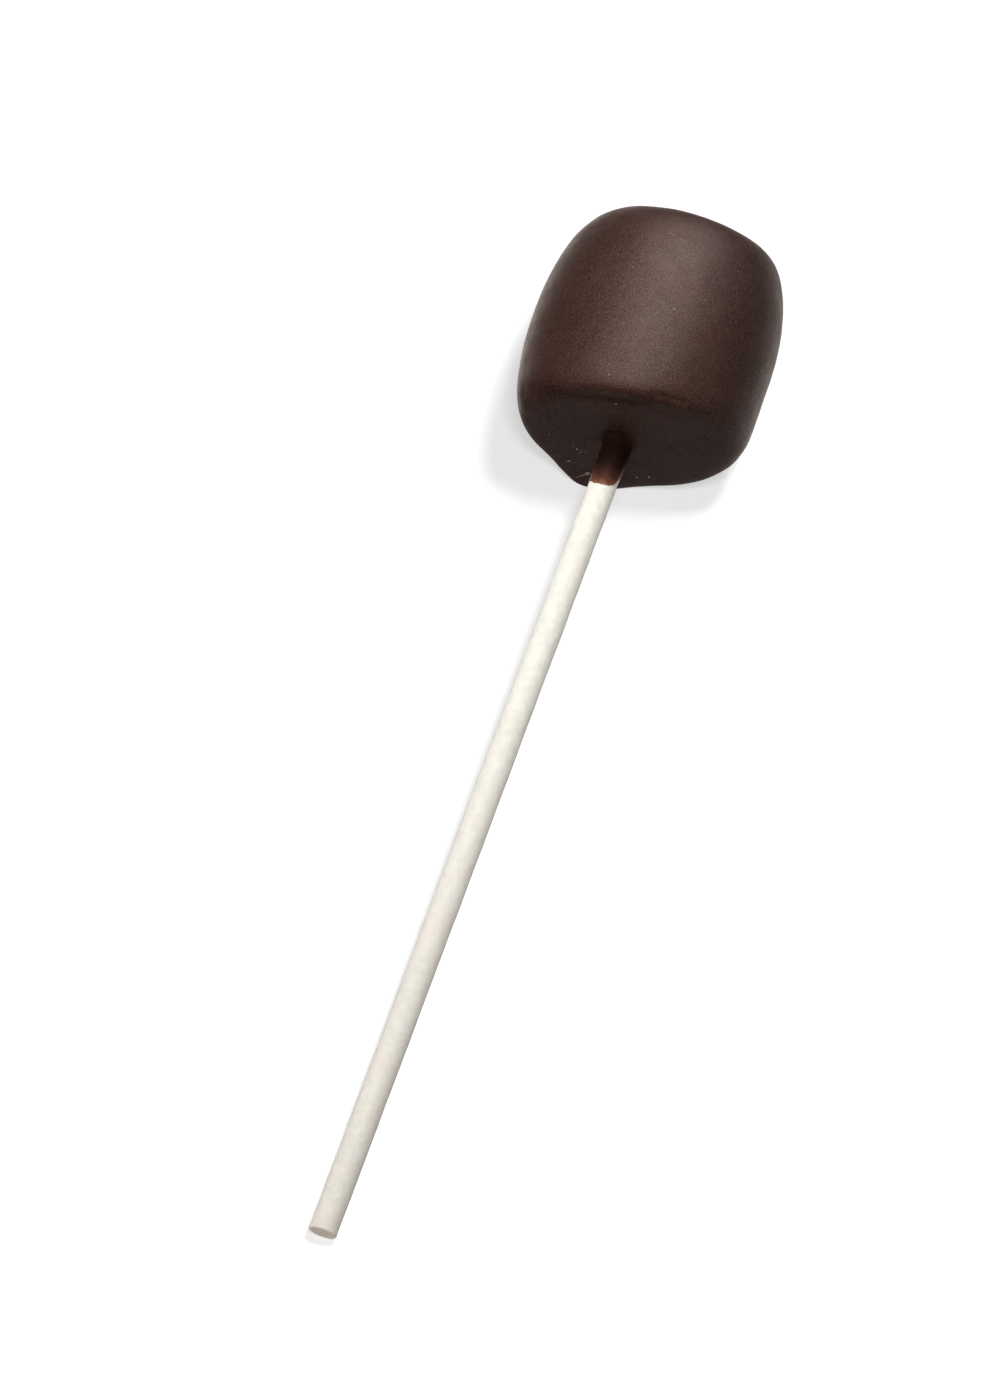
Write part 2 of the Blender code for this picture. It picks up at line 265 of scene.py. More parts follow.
# ---------------------------------------------------------------- mesh helpers
def grid_mesh(name, rings, first, last, layers=None):
    """Closed skin from an array of rings (rings, around, 3) and a point at each end."""
    nr, na = rings.shape[:2]
    verts = np.concatenate((rings.reshape(-1, 3), [first], [last]))
    i = np.arange(nr - 1)[:, None] * na
    j = np.arange(na)[None, :]
    k = (j + 1) % na
    quads = np.stack((i + j, i + k, i + na + k, i + na + j), -1).reshape(-1, 4)
    a, b = nr * na, nr * na + 1
    j = np.arange(na)
    k = (j + 1) % na
    fan1 = np.stack((np.full(na, a), k, j), -1)
    base = (nr - 1) * na
    fan2 = np.stack((base + j, base + k, np.full(na, b)), -1)
    mesh = bpy.data.meshes.new(name)
    faces = quads.tolist() + fan1.tolist() + fan2.tolist()
    mesh.from_pydata(verts.tolist(), [], faces)
    for key, values in (layers or {}).items():
        flat = np.concatenate((values.reshape(-1), values[0].mean(keepdims=True), values[-1].mean(keepdims=True)))
        layer = mesh.attributes.new(key, "FLOAT", "POINT")
        layer.data.foreach_set("value", flat.astype(np.float32))
    mesh.update()
    return mesh


def grid_normals(rings, outward):
    """Unit normals of a ring grid, turned so that they agree with outward."""
    along = np.gradient(rings, axis=0)
    round_ = np.roll(rings, -1, axis=1) - np.roll(rings, 1, axis=1)
    n = np.cross(round_, along)
    n /= np.linalg.norm(n, axis=-1, keepdims=True) + 1e-15
    sign = np.sign((n * outward).sum(-1, keepdims=True))
    return n * np.where(np.median(sign) < 0, -1.0, 1.0)


def make_object(name, mesh, mat, node=None, sharp=40.0):
    bm = bmesh.new()
    bm.from_mesh(mesh)
    bmesh.ops.recalc_face_normals(bm, faces=bm.faces[:])
    bm.to_mesh(mesh)
    bm.free()
    mesh.materials.clear()
    mesh.materials.append(mat)
    mesh.shade_smooth()
    mesh.set_sharp_from_angle(angle=math.radians(sharp))
    obj = bpy.data.objects.new(name, mesh)
    bpy.context.scene.collection.objects.link(obj)
    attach(obj, "root")
    if node:
        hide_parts(node)
    return obj


# ---------------------------------------------------------------- node helpers
class Tree:
    """Short names for building a material's nodes."""

    def __init__(self, name):
        self.mat = bpy.data.materials.new(name)
        self.mat.use_nodes = True
        self.t = self.mat.node_tree
        self.shader = self.t.nodes["Principled BSDF"]

    def node(self, kind, **settings):
        n = self.t.nodes.new(kind)
        for key, value in settings.items():
            setattr(n, key, value)
        return n

    def link(self, a, b):
        self.t.links.new(a, b)

    def coords(self):
        return self.node("ShaderNodeTexCoord").outputs["Object"]

    def noise(self, vector, scale, detail=3.0, rough=0.5, distortion=0.0):
        n = self.node("ShaderNodeTexNoise")
        n.inputs["Scale"].default_value = scale
        n.inputs["Detail"].default_value = detail
        n.inputs["Roughness"].default_value = rough
        n.inputs["Distortion"].default_value = distortion
        self.link(vector, n.inputs["Vector"])
        return n.outputs["Fac"]

    def span(self, value, a, b, c, d, smooth_=True):
        n = self.node("ShaderNodeMapRange")
        n.interpolation_type = "SMOOTHSTEP" if smooth_ else "LINEAR"
        for key, v in zip(("From Min", "From Max", "To Min", "To Max"), (a, b, c, d)):
            n.inputs[key].default_value = v
        self.link(value, n.inputs["Value"])
        return n.outputs["Result"]

    def mix(self, fac, a, b, blend="MIX"):
        n = self.node("ShaderNodeMix", data_type="RGBA", blend_type=blend)
        for sock, v in ((n.inputs[0], fac), (n.inputs[6], a), (n.inputs[7], b)):
            if isinstance(v, (int, float)):
                sock.default_value = v
            elif isinstance(v, tuple):
                sock.default_value = (*v, 1.0)
            else:
                self.link(v, sock)
        return n.outputs[2]

    def math(self, op, a, b):
        n = self.node("ShaderNodeMath", operation=op)
        for sock, v in ((n.inputs[0], a), (n.inputs[1], b)):
            if isinstance(v, (int, float)):
                sock.default_value = v
            else:
                self.link(v, sock)
        return n.outputs[0]

    def attribute(self, name):
        n = self.node("ShaderNodeAttribute")
        n.attribute_name = name
        return n.outputs["Fac"]

    def ramp(self, value, stops):
        n = self.node("ShaderNodeValToRGB")
        ramp = n.color_ramp
        while len(ramp.elements) < len(stops):
            ramp.elements.new(0.5)
        for e, (pos, colour) in zip(ramp.elements, stops):
            e.position = pos
            e.color = (*colour, 1.0)
        self.link(value, n.inputs["Fac"])
        return n.outputs["Color"]

    def bump(self, height, distance, strength, normal=None):
        n = self.node("ShaderNodeBump")
        n.inputs["Distance"].default_value = distance
        n.inputs["Strength"].default_value = strength
        self.link(height, n.inputs["Height"])
        if normal is not None:
            self.link(normal, n.inputs["Normal"])
        return n.outputs["Normal"]


# ---------------------------------------------------------------- materials
CHOC_DARK = (0.0118, 0.0028, 0.0014)
CHOC_WARM = (0.0160, 0.0040, 0.0023)


def chocolate_material():
    m = Tree("dark_chocolate")
    at = m.coords()
    broad = m.noise(at, 150.0, 3.0, 0.55)
    grain = m.noise(at, 6600.0, 1.5, 0.55)
    body = m.mix(m.span(broad, 0.32, 0.68, 0.0, 1.0), CHOC_DARK, CHOC_WARM)
    body = m.mix(m.span(grain, 0.42, 0.74, 0.0, 1.0, False), body, (0.0540, 0.0288, 0.0226))
    # the film on the stick lets the paper through as it thins out
    film = m.attribute("film")
    uneven = m.noise(at, 1500.0, 3.0, 0.6)
    film = m.math("ADD", film, m.span(uneven, 0.2, 0.8, -0.05, 0.05, False))
    thin = m.ramp(film, ((0.0, (0.0140, 0.0052, 0.0036)), (0.45, (0.0130, 0.0062, 0.0051)), (0.62, (0.0190, 0.0092, 0.0078)),
                         (0.82, (0.070, 0.0280, 0.0198)), (0.93, (0.165, 0.0600, 0.0340)), (1.0, (0.33, 0.155, 0.085))))
    on_film = m.span(m.attribute("film"), 0.05, 0.35, 0.0, 1.0)
    colour = m.mix(on_film, body, thin)
    # painted shade: the coat's colour is darkened round the neck, where the stick goes in
    colour = m.mix(m.math("MULTIPLY", m.attribute("neck_shade_and_dull"), 0.55), colour, (0.0085, 0.0030, 0.0020))
    m.link(colour, m.shader.inputs["Base Color"])
    gloss = m.span(m.noise(at, 420.0, 3.0, 0.6), 0.3, 0.7, 0.47, 0.54)
    gloss = m.math("SUBTRACT", gloss, m.math("MULTIPLY", on_film, 0.12))
    m.link(gloss, m.shader.inputs["Roughness"])
    # dull where the coat turns in to the stick, glossier towards the free edge of the film
    dull = m.span(m.attribute("neck_shade_and_dull"), 0.0, 1.0, 0.5, 0.025, False)
    dull = m.math("MULTIPLY", dull, m.span(m.attribute("crease"), 0.0, 1.0, 1.0, 0.12, False))
    glint = m.span(m.noise(at, 8200.0, 2.0, 0.6), 0.30, 0.70, 0.40, 1.60, False)
    dull = m.math("MULTIPLY", m.math("ADD", dull, m.span(m.attribute("film"), 0.60, 0.95, 0.0, 0.06)), glint)
    m.link(dull, m.shader.inputs["Specular IOR Level"])
    m.shader.inputs["Specular Tint"].default_value = (1.0, 0.84, 0.79, 1.0)
    fine = m.bump(m.noise(at, 5000.0, 2.0, 0.6), 0.000055, 0.9)
    m.link(m.bump(m.noise(at, 700.0, 2.0, 0.5), 0.00006, 0.30, fine), m.shader.inputs["Normal"])
    return m.mat


def paper_material():
    m = Tree("white_paper")
    at = m.coords()
    long_at = m.node("ShaderNodeMapping")
    long_at.inputs["Rotation"].default_value = (-TILT, 0.0, 0.0)
    long_at.inputs["Scale"].default_value = (1.0, 0.16, 1.0)
    m.link(at, long_at.inputs["Vector"])
    fibres = m.noise(long_at.outputs["Vector"], 2600.0, 3.0, 0.6)
    mottle = m.noise(at, 900.0, 4.0, 0.65)
    soft = m.noise(at, 190.0, 2.0, 0.5)
    base = m.mix(m.span(mottle, 0.3, 0.7, 0.0, 1.0), (0.590, 0.577, 0.525), (0.672, 0.657, 0.606))
    base = m.mix(m.span(fibres, 0.55, 0.80, 0.0, 0.45), base, (0.545, 0.520, 0.462))
    # faint pink and green casts in patches
    base = m.mix(m.span(soft, 0.52, 0.72, 0.0, 0.55), base, (0.655, 0.598, 0.545))
    base = m.mix(m.span(m.noise(at, 330.0, 2.0, 0.5, 0.4), 0.55, 0.75, 0.0, 0.35), base, (0.600, 0.622, 0.560))
    # painted shade: the paper is darker, with a slight yellow cast, towards the free end of the stick, where less light
    # falls
    far = m.math("MULTIPLY", m.attribute("along"), 1.0 / STICK_LEN)
    falloff_shade = m.ramp(far, ((0.0, (0.705, 0.685, 0.665)), (0.35, (0.785, 0.772, 0.758)), (0.62, (0.865, 0.860, 0.845)), (1.0, (0.95, 0.95, 0.94))))
    base = m.mix(1.0, base, falloff_shade, "MULTIPLY")
    # cut end: dense, slightly browner layers with dark gaps between them
    cut = m.attribute("cut")
    base = m.mix(m.span(cut, 0.0, 0.5, 0.0, 1.0), base, (0.60, 0.515, 0.438))
    base = m.mix(m.span(cut, 0.5, 1.0, 0.0, 0.85), base, (0.34, 0.265, 0.215))
    m.link(base, m.shader.inputs["Base Color"])
    m.shader.inputs["Roughness"].default_value = 0.78
    m.shader.inputs["Specular IOR Level"].default_value = 0.35
    first = m.bump(m.noise(at, 2400.0, 4.0, 0.7), 0.00004, 0.6)
    second = m.bump(fibres, 0.00004, 0.35, first)
    m.link(m.bump(mottle, 0.00008, 0.40, second), m.shader.inputs["Normal"])
    return m.mat


def crumb_material(name, low, high, rough):
    m = Tree(name)
    at = m.coords()
    base = m.mix(m.span(m.noise(at, 5200.0, 2.0, 0.6), 0.3, 0.7, 0.0, 1.0), low, high)
    m.link(base, m.shader.inputs["Base Color"])
    m.shader.inputs["Roughness"].default_value = rough
    m.shader.inputs["Specular IOR Level"].default_value = 0.4
    m.link(m.bump(m.noise(at, 7000.0, 2.0, 0.6), 0.00002, 0.6), m.shader.inputs["Normal"])
    return m.mat


# ---------------------------------------------------------------- the dipped marshmallow
def marked_point(verts, normals, px, py):
    """Vertex of the upper skin that the camera sees at a pixel."""
    to_cam = np.array(CAM_AT) - verts
    depth = to_cam @ np.array(CAM_BACK)
    u = FRAME_W / 2 - FOCAL_PX * (to_cam @ np.array(CAM_RIGHT)) / depth
    v = FRAME_H / 2 + FOCAL_PX * (to_cam @ np.array(CAM_UP)) / depth
    facing = (normals * to_cam).sum(-1) > 0
    miss = np.hypot(u - px, v - py) + np.where(facing, 0.0, 1e3)
    return verts[int(np.argmin(miss))]


def path_field(p, points):
    """(distance from a path, height above or below it, 0..1 along it) for each point."""
    legs = [np.linalg.norm(b - a) for a, b in zip(points[:-1], points[1:])]
    total = sum(legs)
    best = np.full(p.shape[:-1], 1e3)
    side = np.zeros(p.shape[:-1])
    way = np.zeros(p.shape[:-1])
    start = 0.0
    for a, b, leg in zip(points[:-1], points[1:], legs):
        ab = b - a
        w = np.clip(((p - a) @ ab) / (ab @ ab), 0.0, 1.0)
        off = p - (a + w[..., None] * ab)
        d = np.linalg.norm(off, axis=-1)
        near = d < best
        best = np.where(near, d, best)
        side = np.where(near, off[..., 2], side)
        way = np.where(near, (start + w * leg) / total, way)
        start += leg
    return best, side, way


def build_coat(mat):
    theta = np.linspace(0.0, 2.0 * math.pi, AROUND, endpoint=False) - math.pi / 2.0
    film_r = STICK_R + FILM_THICK
    start = (film_r + FILLET) / HALF_WIDE
    br, bz = meridians(theta, False, BACK_RINGS, 0.012)
    fr, fz = meridians(theta, True, FRONT_RINGS, start)
    bx, bs, bt = skin(br, bz, theta, False)
    fx, fs, ft = skin(fr[::-1][1:], fz[::-1][1:], theta, True)
    rings = [np.stack((bx, bs, bt), -1), np.stack((fx, fs, ft), -1)]
    film = [np.zeros(br.shape), np.zeros(fx.shape)]

    cx, sx = np.cos(theta), np.sin(theta)
    # the coat climbs a little along the right side of the stick
    climb = 0.85 * MM * bell(theta, 14.0, 46.0)
    axial = np.hypot(rings[1][..., 0], rings[1][..., 2])
    rings[1][..., 1] -= climb * np.exp(-((axial - film_r) / (1.45 * MM)) ** 2)
    # fillet where the face turns onto the stick
    fil, fil_f = [], []
    for k in range(1, FILLET_RINGS + 1):
        a = math.radians(90.0) * k / FILLET_RINGS
        radius = film_r + FILLET * (1.0 - math.sin(a))
        x, t = radius * cx, radius * sx
        s = face_height(x, t) + DIMPLE_DEPTH * math.exp(-(radius / DIMPLE_WIDTH) ** 2) - FILLET * (1.0 - math.cos(a))
        s = s - climb * math.exp(-((radius - film_r) / (1.45 * MM)) ** 2)
        fil.append(np.stack((x, s, t), -1))
        fil_f.append(np.full(AROUND, 0.10 * k / FILLET_RINGS))
    rings.append(np.array(fil))
    film.append(np.array(fil_f))
    # film on the stick, thinner towards its wavy free edge
    edge = film_edge(theta)
    top = fil[-1][:, 1]
    out, out_f = [], []
    for k in range(1, FILM_RINGS + 1):
        w = k / FILM_RINGS
        w = 1.0 - (1.0 - w) ** 1.25
        s = top * (1.0 - w) + edge * w
        thick = FILM_THIN + (FILM_THICK - FILM_THIN) * (1.0 - w) ** 1.5
        radius = STICK_R + thick * (1.0 + 0.18 * np.sin(3.0 * theta + 40.0 * w / (1.0 + w)) * w * (1.0 - w))
        out.append(np.stack((radius * cx, s, radius * sx), -1))
        out_f.append(np.full(AROUND, 0.10 + 0.90 * w))
    rings.append(np.array(out))
    film.append(np.array(out_f))
    smooth_part = np.concatenate(rings)
    film_part = np.concatenate(film)
    # rounded lip and the inside, pressed a hair into the paper
    lip = []
    for radius, back in ((STICK_R + 0.020 * MM, -0.012 * MM), (STICK_R - 0.03 * MM, 0.0)):
        lip.append(np.stack((radius * cx, edge + back, radius * sx), -1))
    inner_r = STICK_R - 0.05 * MM
    for s in (118.8 * MM, 125.0 * MM, STICK_LEN + 0.10 * MM):
        lip.append(np.stack((inner_r * cx, np.full(AROUND, s), inner_r * sx), -1))
    lip = np.array(lip)
    lip_f = np.ones((len(lip), AROUND))

    # ---- relief on the outer skin
    nrm = grid_normals(smooth_part, smooth_part - np.array((0.0, MID_S, 0.0)))
    p = smooth_part
    on_body = 1.0 - smooth(0.05, 0.16, film_part)
    lift = on_body * (0.030 * MM * ripple(p, 12.0 * MM, 11) + 0.009 * MM * ripple(p, 5.2 * MM, 12)
                      + 0.0028 * MM * ripple(p, 1.9 * MM, 13) + 0.0012 * MM * ripple(p, 0.85 * MM, 14, 34))
    # faint rings round the side, left by the turning of the sweet as the coat set
    stretched = p * np.array((0.10, 1.0, 0.10))
    lift += on_body * 0.0034 * MM * ripple(stretched, 1.15 * MM, 16, 30)
    lift += (1.0 - on_body) * (0.012 * MM * ripple(p, 1.6 * MM, 15) * (1.0 - film_part))

    world = np.stack(place(p[..., 0], p[..., 1], p[..., 2]), -1)
    wn = np.stack((nrm[..., 0], nrm[..., 1] * COS_T - nrm[..., 2] * SIN_T, nrm[..., 1] * SIN_T + nrm[..., 2] * COS_T), -1)
    flat_w, flat_n = world.reshape(-1, 3), wn.reshape(-1, 3)

    def mark(px, py):
        return marked_point(flat_w, flat_n, px, py)

    # fold just under the front rim: a fine groove above a soft lip that widens to the right
    def along_marks(pixels):
        return path_field(world, [mark(*q) for q in pixels])

    dist, side, w = along_marks(((644, 392.5), (656, 394.5), (667, 397), (679, 400.5), (692, 405)))
    ends = smooth(0.0, 0.25, w) * (1.0 - smooth(0.75, 1.0, w))
    lift += -0.14 * MM * on_body * ends * np.exp(-(dist / (0.42 * MM)) ** 2)
    dist, side, w = along_marks(((634, 396.5), (648, 399.5), (660, 403), (672, 407.5), (684, 411), (698, 414)))
    ends = smooth(0.0, 0.40, w) * (1.0 - smooth(0.75, 1.0, w))
    lift += 0.16 * MM * on_body * ends * np.exp(-(dist / (0.50 * MM)) ** 2)
    dist, side, w = along_marks(((646, 407), (660, 411), (674, 415.5), (690, 419)))
    ends = smooth(0.0, 0.35, w) * (1.0 - smooth(0.65, 1.0, w))
    lift += -0.07 * MM * on_body * ends * np.exp(-(dist / (0.55 * MM)) ** 2)
    # the face falls in a little just under the rim, further left
    dist, side, w = along_marks(((528, 389), (548, 392), (575, 393), (604, 396), (634, 402)))
    ends = smooth(0.0, 0.30, w) * (1.0 - smooth(0.75, 1.0, w))
    lift += -0.02 * MM * on_body * ends * np.exp(-(dist / (0.9 * MM)) ** 2)
    # soft swellings on the face near the stick and a slight sag left of it
    for px, py, high, wide in ((594, 443, 0.16, 1.1), (583, 450, 0.10, 1.3), (634, 452, 0.08, 1.4), (570, 425, 0.06, 2.2),
                               (672, 452, 0.07, 3.0), (700, 430, -0.06, 2.4), (640, 420, -0.05, 2.0)):
        c = mark(px, py)
        d2 = ((world - c) ** 2).sum(-1)
        lift += on_body * high * MM * np.exp(-d2 / (wide * MM) ** 2)
    # a bead and a small wrinkle on the film
    for px, py, high, wide in ((600, 473, 0.055, 0.42), (608, 478, 0.02, 0.5), (614, 470, 0.03, 0.6)):
        c = mark(px, py)
        d2 = ((world - c) ** 2).sum(-1)
        lift += (1.0 - on_body) * high * MM * np.exp(-d2 / (wide * MM) ** 2)

    # the rim leans out over the face, most left of the middle
    dist, side, w = along_marks(((556, 386), (575, 386), (600, 387), (625, 389), (650, 392), (672, 398)))
    ends = smooth(0.0, 0.22, w) * (1.0 - smooth(0.70, 1.0, w))
    push = 0.42 * MM * on_body * ends * np.exp(-(dist / (2.3 * MM)) ** 2)
    # dull, soft band just under it, where the coat was touched least by the air
    dist, side, w = along_marks(((522, 388), (548, 391), (575, 394), (600, 397), (625, 400), (650, 402), (676, 408), (704, 418)))
    crease = on_body * (0.25 + 0.75 * smooth(0.0, 0.20, w)) * (1.0 - smooth(0.62, 1.0, w)) * np.exp(-(dist / (1.9 * MM)) ** 2)
    crease = np.concatenate((crease, np.zeros((len(lip), AROUND))))
    # and the rim is softer at its left end
    dist, side, w = along_marks(((524, 391), (536, 391), (550, 392)))
    lift += -0.25 * MM * on_body * np.exp(-(dist / (1.3 * MM)) ** 2)

    p = p + nrm * lift[..., None]
    p[..., 1] -= push
    world = np.stack(place(p[..., 0], p[..., 1], p[..., 2]), -1)
    spread = np.stack(spread_foot(world[..., 0], world[..., 1], world[..., 2]), -1)
    inner = np.stack(place(lip[..., 0], lip[..., 1], lip[..., 2]), -1)
    rings = np.concatenate((spread, inner))
    film_all = np.concatenate((film_part, lip_f))
    first = rings[0].mean(0)
    last = place(0.0, STICK_LEN + 0.10 * MM, 0.0)
    # painted shade round the neck, also used to dull the gloss there: 1 at the stick and on the film, fading out over
    # the face round it, reaching further above the stick than elsewhere round it
    radius = np.hypot(np.concatenate((smooth_part, lip))[..., 0], np.concatenate((smooth_part, lip))[..., 2])
    radius = radius + 0.9 * MM * (1.0 - np.clip(np.sin(theta), 0.0, 1.0) ** 2) * smooth(STICK_R, STICK_R + 1.0 * MM, radius)
    neck_shade_and_dull = 1.0 - smooth(STICK_R + 0.25 * MM, STICK_R + 2.1 * MM, radius)
    neck_shade_and_dull[:BACK_RINGS] = 0.0
    mesh = grid_mesh("coat", rings, first, last, {"film": film_all, "neck_shade_and_dull": neck_shade_and_dull, "crease": crease})

    bm = bmesh.new()
    bm.from_mesh(mesh)
    for v in bm.verts:
        if abs(v.co.z) < 0.012 * MM:
            v.co.z = 0.0
    bmesh.ops.bisect_plane(bm, geom=bm.verts[:] + bm.edges[:] + bm.faces[:], dist=1e-7,
                           plane_co=Vector((0, 0, 0)), plane_no=Vector((0, 0, -1)), clear_outer=True)
    rim = [e for e in bm.edges if e.is_boundary]
    for v in {v for e in rim for v in e.verts}:
        v.co.z = 0.0
    made = bmesh.ops.contextual_create(bm, geom=rim)["faces"]
    bmesh.ops.triangulate(bm, faces=made)
    bm.to_mesh(mesh)
    bm.free()
    return make_object("chocolate_coat", mesh, mat, "marshmallow", 48.0)


# ---------------------------------------------------------------- the rolled paper stick
def build_stick(mat):
    around = 128
    theta = np.linspace(0.0, 2.0 * math.pi, around, endpoint=False) - math.pi / 2.0
    cx, sx = np.cos(theta), np.sin(theta)
    rings, cut, along = [], [], []
    edge = 0.16 * MM
    pitch = 0.40 * MM          # visible spacing of the rolled layers on the cut end

    def end_rings(s0, direction, seed):
        """Cut end: rolled layers wind out from the middle; rings from the middle outwards."""
        out, mark = [], []
        for k in range(1, 45):
            r = (STICK_R - edge) * k / 44.0
            phase = r / pitch - theta / (2.0 * math.pi) + 0.07 * np.sin(2.0 * theta + seed)
            roll = np.cos(2.0 * math.pi * phase)
            deep = 0.045 * MM * roll * (0.35 + 0.65 * (r / STICK_R)) + 0.05 * MM * (1.0 - (r / STICK_R) ** 2)
            deep = deep * (1.0 - smooth(0.93, 1.0, np.full(around, k / 44.0)))
            squash = 1.0 + 0.012 * np.sin(2.0 * theta + 1.1 + seed) * (k / 44.0)
            out.append(np.stack((r * cx * squash, s0 + direction * deep, r * sx), -1))
            mark.append(0.5 + 0.5 * smooth(0.35, 1.0, roll) * (1.0 - smooth(0.90, 1.0, np.full(around, k / 44.0))))
        return out, mark

    a, m = end_rings(0.0, 1.0, 0.4)
    rings += a
    cut += m
    for w in (0.35, 0.7, 1.0):
        ang = w * math.pi / 2.0
        r = STICK_R - edge * (1.0 - math.sin(ang))
        rings.append(np.stack((r * cx, np.full(around, edge * (1.0 - math.cos(ang))), r * sx), -1))
        cut.append(np.full(around, 0.50 * (1.0 - w)))
    count = 300
    for k in range(1, count):
        s = edge + (STICK_LEN - 2 * edge) * k / count
        ring = np.stack((STICK_R * cx, np.full(around, s), STICK_R * sx), -1)
        # the last layer's edge: a very low step that drifts slowly round the stick
        seam = math.radians(-28.0) + 0.22 * math.sin(s / 0.031) + s * 2.2
        turn = (theta - seam + math.pi) % (2.0 * math.pi) - math.pi
        step = 0.028 * MM * np.where((turn > -0.03) & (turn < 0.6), (1.0 - np.clip(turn, 0.0, 0.6) / 0.6), 0.0)
        wave = 0.014 * MM * ripple(ring, 7.0 * MM, 31, 18) + 0.006 * MM * ripple(ring, 1.7 * MM, 32, 18)
        fade = smooth(0.0, 1.2 * MM, s) * (1.0 - smooth(STICK_LEN - 1.2 * MM, STICK_LEN, s))
        r = STICK_R + (step + wave - 0.022 * MM) * fade
        rings.append(np.stack((r * cx, np.full(around, s), r * sx), -1))
        cut.append(np.zeros(around))
    for w in (1.0, 0.7, 0.35):
        ang = w * math.pi / 2.0
        r = STICK_R - edge * (1.0 - math.sin(ang))
        rings.append(np.stack((r * cx, np.full(around, STICK_LEN - edge * (1.0 - math.cos(ang))), r * sx), -1))
        cut.append(np.full(around, 0.50 * (1.0 - w)))
    a, m = end_rings(STICK_LEN, -1.0, 2.0)
    rings += a[::-1]
    cut += m[::-1]
    rings, cut = np.array(rings), np.array(cut)
    along = rings[..., 1].copy()
    w = np.stack(place(rings[..., 0], rings[..., 1], rings[..., 2]), -1)
    w[..., 2] = np.maximum(w[..., 2], 0.0)
    mesh = grid_mesh("paper_stick", w, w[0].mean(0), w[-1].mean(0), {"cut": cut, "along": along})
    return make_object("paper_stick", mesh, mat, "stick", 50.0)


# ---------------------------------------------------------------- crumbs, flake and scuff
def surface_tree(obj):
    return BVHTree.FromPolygons([v.co.copy() for v in obj.data.vertices],
                                [tuple(p.vertices) for p in obj.data.polygons])


def hit(tree, px, py):
    """Point and normal of the skin behind a pixel, or just inside the outline next to it."""
    for step in range(40):
        w = step * 0.004
        where, normal, _, _ = tree.ray_cast(CAM_AT, pixel_ray(px + (650.0 - px) * w, py + (380.0 - py) * w))
        if where is not None:
            break
    if normal.dot(CAM_BACK) < 0:
        normal = -normal
    return where, normal


def crumb(bm, where, normal, size, seed, flat=0.6, longer=1.0, turn=0.0):
    """Small uneven grain, half sunk in the chocolate."""
    rng = np.random.default_rng(seed)
    made = bmesh.ops.create_icosphere(bm, subdivisions=2, radius=1.0)["verts"]
    z = normal.normalized()
    x = CAM_RIGHT - z * CAM_RIGHT.dot(z)
    x.normalize()
    y = z.cross(x)
    c, s = math.cos(turn), math.sin(turn)
    x, y = x * c + y * s, y * c - x * s
    wob = rng.uniform(-0.28, 0.28, (6, 3))
    for v in made:
        d = v.co.normalized()
        r = 1.0 + sum(0.5 * math.sin(3.1 * (d.x * w[0] + d.y * w[1] + d.z * w[2]) * 4.0 + i) * 0.16
                      for i, w in enumerate(wob))
        v.co = where + (x * d.x * longer + y * d.y + z * (d.z * flat + flat * 0.35)) * (size * r)


def strip(bm, points, normals, widths, heights):
    """Thin raised sliver along points on the skin, pointed at its ends and closed."""
    loops = []
    n = len(points)
    for i, (p, nm, w, h) in enumerate(zip(points, normals, widths, heights)):
        a, b = points[max(i - 1, 0)], points[min(i + 1, n - 1)]
        along = (b - a).normalized()
        side = along.cross(nm).normalized()
        loop = []
        for k in range(8):
            ang = 2.0 * math.pi * k / 8.0
            loop.append(bm.verts.new(p + side * (w * math.cos(ang)) + nm * (h * math.sin(ang) + h * 0.35)))
        loops.append(loop)
    for a, b in zip(loops[:-1], loops[1:]):
        for k in range(8):
            j = (k + 1) % 8
            bm.faces.new((a[k], a[j], b[j], b[k]))
    bm.faces.new(loops[0][::-1])
    bm.faces.new(loops[-1])


def along_pixels(tree, pixels, count):
    """Points and normals on the skin along a smooth path through pixels."""
    px = np.array(pixels, float)
    d = np.concatenate(([0.0], np.cumsum(np.hypot(*np.diff(px, axis=0).T))))
    want = np.linspace(0.0, d[-1], count)
    out = [hit(tree, float(np.interp(w, d, px[:, 0])), float(np.interp(w, d, px[:, 1]))) for w in want]
    return [o[0] for o in out], [o[1] for o in out]


